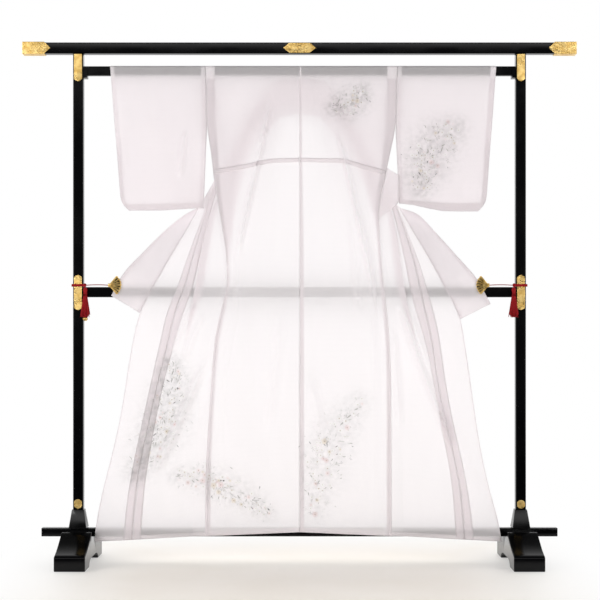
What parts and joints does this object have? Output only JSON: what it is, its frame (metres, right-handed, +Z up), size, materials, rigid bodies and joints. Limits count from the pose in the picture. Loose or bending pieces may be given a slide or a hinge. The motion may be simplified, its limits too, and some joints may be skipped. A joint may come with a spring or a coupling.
{
  "type": "houmongi kimono on a kimono stand",
  "caption": "Sheer single-layer kimono hung open, back to the front, on a black lacquered stand with brass fittings and red cords.",
  "frame": {"origin": "centre of the stand's footprint, on the floor", "axes": "+X along the top beam to the right as seen from the kimono's back, -Y towards the viewer whom the kimono's back faces, +Z up"},
  "size_m": [1.8896, 0.38, 1.7778],
  "materials": {
    "ro_silk": "sheer pale pink-white silk gauze with faint woven lines and soft painted flower sprays",
    "black_lacquer": "black gloss lacquer",
    "brass": "gilt brass, finely punched ground with plain line borders",
    "red_silk_cord": "twisted red silk"
  },
  "bodies": {
    "root": {"back_left": "ro_silk", "back_right": "ro_silk", "front_left": "ro_silk", "front_right": "ro_silk", "okumi_left": "ro_silk", "okumi_right": "ro_silk", "sleeve_left_back": "ro_silk", "sleeve_right_back": "ro_silk", "sleeve_left_front": "ro_silk", "sleeve_right_front": "ro_silk", "waist_tuck_left": "ro_silk", "waist_tuck_right": "ro_silk", "collar": "ro_silk", "top_beam": "black_lacquer", "rod": "black_lacquer", "crossbar": "black_lacquer", "bottom_rail": "black_lacquer", "post_left": "black_lacquer", "post_right": "black_lacquer", "post_base_left": "black_lacquer", "post_base_right": "black_lacquer", "foot_left": "black_lacquer", "foot_right": "black_lacquer", "rod_bracket_left": "black_lacquer", "rod_bracket_right": "black_lacquer", "centre_plate": "brass", "beam_cap_left": "brass", "beam_cap_right": "brass", "post_plate_left_top": "brass", "post_plate_right_top": "brass", "post_plate_left_middle": "brass", "post_plate_right_middle": "brass", "post_plate_left_foot": "brass", "post_plate_right_foot": "brass", "clip_left": "brass", "clip_right": "brass", "post_tie_left": "red_silk_cord", "post_tie_right": "red_silk_cord", "tassel_left": "red_silk_cord", "tassel_right": "red_silk_cord", "clip_cord_left": "red_silk_cord", "clip_cord_right": "red_silk_cord"}
  },
  "joints": []
}
